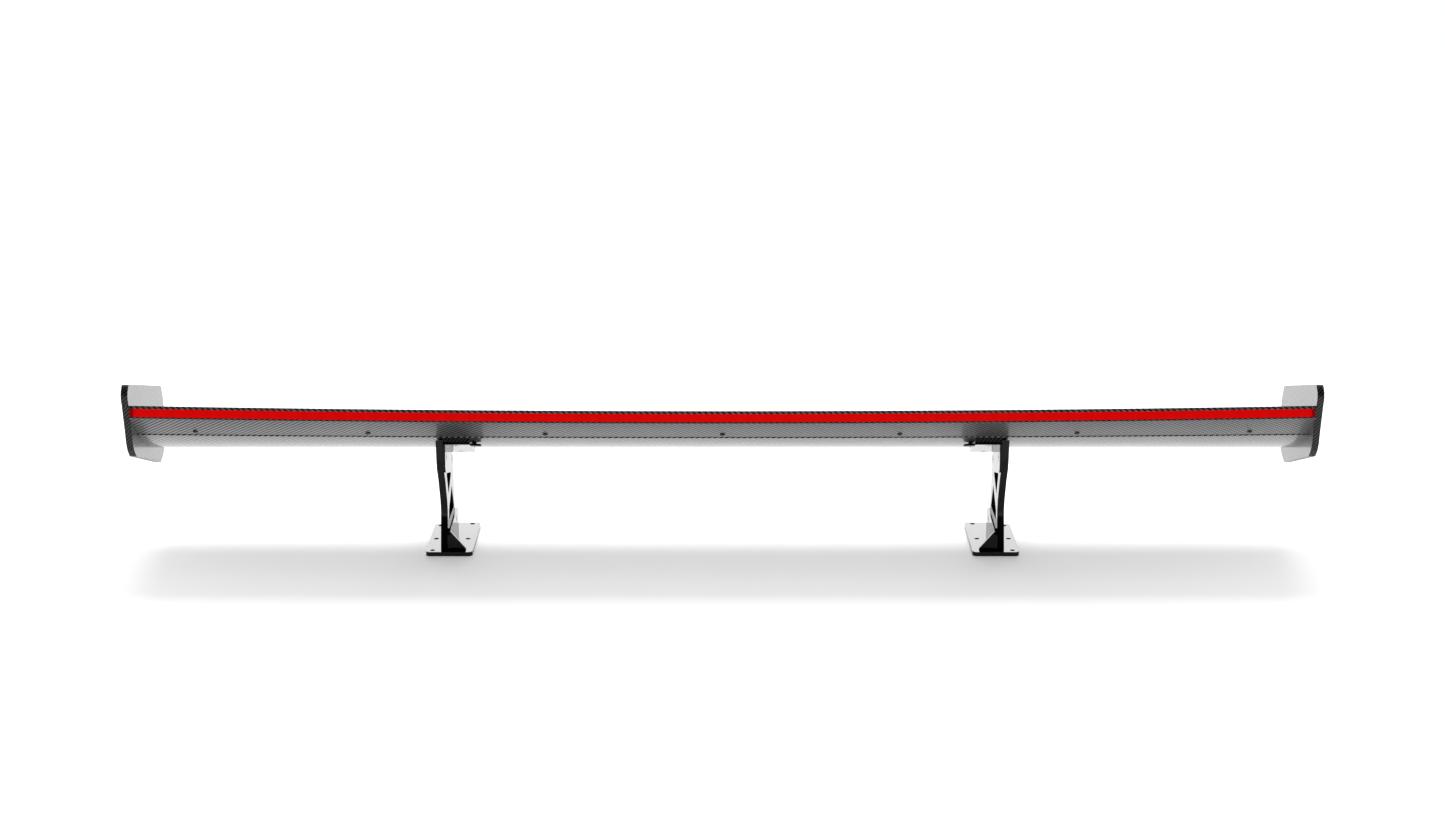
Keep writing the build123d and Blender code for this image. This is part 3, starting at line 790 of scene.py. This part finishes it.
sunkHead = (5.7, 3.1, 2.9, 0.15, 2.3, 1.9, 3.0)
bolts = {
    "panel_screws": (3.25, 3.25, 1.6, 0.35, 1.7, 0.9, 1.9),
    "end_plate_screws": (4.4, 4.4, 2.2, 0.45, 2.3, 1.3, 1.95),
    "bracket_bolts": sunkHead, "pivot_bolts": sunkHead, "lock_bolts": sunkHead, "foot_bolts": sunkHead,
}


def inwardAim(middle):
    return Vector((-1.0 if middle.x > 0 else 1.0, 0.0, 0.0))


def outwardAim(middle):
    return -inwardAim(middle)


panelScrewY = 48.0


# square to the panel's own slope at the screw

def panelAim(middle):
    ends = (panelScrewY - 1.0, panelScrewY + 1.0)
    near, far = (twisted(middle.x / mm, y, bottomZ(y, panelOutside(y))) for y in ends)
    return Vector((1.0, 0.0, 0.0)).cross(near - far).normalized()


flange = {"rearY": 60.0, "rearZ": -46.8, "frontY": 150.0, "frontZ": -57.9}
flangeSlope = (flange["frontZ"] - flange["rearZ"]) / (flange["frontY"] - flange["rearY"])
flangeDown = levelAim(0.0, flangeSlope, -1.0)
aims = {
    "panel_screws": panelAim, "end_plate_screws": outwardAim, "bracket_bolts": lambda middle: flangeDown,
}
for node, size in bolts.items():
    setBolts(node, size, aims.get(node, inwardAim))
print("bolts set:", len(bolts))


# floor, surroundings and light

studio = {
    "floorSize": 60.0, "floorGlow": 0.40, "high": 0.8, "band": 5.0, "behind": 0.03, "seen": 1.05,
    "bandFoot": (-0.02, 0.1), "bandTop": (0.30, 0.46), "bandEnds": (0.30, 0.60), "ahead": (-0.25, 0.35),
    "aheadTilt": 0.35,
}
softbox = {
    "place": (0.0, 1.6, 2.6), "target": (0.0, 0.0, 0.1), "width": 3.2, "height": 1.2, "power": 80.0,
}


def makeFloor():
    mesh = bpy.data.meshes.new("studioFloor")
    half = studio["floorSize"] / 2
    corners = [(-half, -half, 0), (half, -half, 0), (half, half, 0), (-half, half, 0)]
    mesh.from_pydata(corners, [], [(0, 1, 2, 3)])
    floor = newObject("studioFloor", mesh)
    material, bench = newMaterial("paleFloor")
    place = bench.add("ShaderNodeTexCoord").outputs["Object"]
    cloud = bench.noise(place, 3.0)
    sockets = {
        "Base Color": bench.blendColours(cloud, (0.84, 0.84, 0.84), (0.86, 0.86, 0.86)),
        "Roughness": 0.7 + cloud * 0.1,
        "Specular IOR Level": 0.2,
        "Emission Color": (1.0, 1.0, 1.0, 1.0),
        "Emission Strength": studio["floorGlow"],
    }
    closeMaterial(bench, sockets)
    mesh.materials.append(material)


def makeSurroundings():
    world = bpy.data.worlds.new("whiteStudio")
    bpy.context.scene.world = world
    world.use_nodes = True
    world.node_tree.nodes.clear()
    bench = Bench(world.node_tree)
    way = bench.add("ShaderNodeTexCoord").outputs["Generated"]
    x, y, z = bench.split(way)
    rising = bench.ease(z, *studio["bandFoot"])
    low = 1.0 - bench.ease(z, *studio["bandTop"])
    middle = 1.0 - bench.ease(x.maths("ABSOLUTE"), *studio["bandEnds"])
    wall = rising * low * middle * (studio["band"] - studio["high"]) + studio["high"]
    ahead = bench.ease(y + z * studio["aheadTilt"], *studio["ahead"])
    light = ahead * wall + (1.0 - ahead) * studio["behind"]
    seen = bench.number("ShaderNodeLightPath", None, None, "Is Camera Ray")
    strength = seen * studio["seen"] + (1.0 - seen) * light
    sockets = {"Color": (1.0, 1.0, 1.0, 1.0), "Strength": strength}
    back = bench.add("ShaderNodeBackground", None, sockets)
    bench.add("ShaderNodeOutputWorld", None, {0: back.outputs[0]})


def areaLight(name, place, target, width, height, power):
    data = bpy.data.lights.new(name, "AREA")
    data.shape = "RECTANGLE"
    data.size = width
    data.size_y = height
    data.energy = power
    lamp = bpy.data.objects.new(name, data)
    bpy.context.collection.objects.link(lamp)
    lamp.location = place
    lamp.rotation_euler = (Vector(target) - Vector(place)).to_track_quat("-Z", "Y").to_euler()


makeFloor()
makeSurroundings()
areaLight("overheadSoftbox", **softbox)
bpy.context.scene.view_settings.view_transform = "Standard"
print("studio ready")
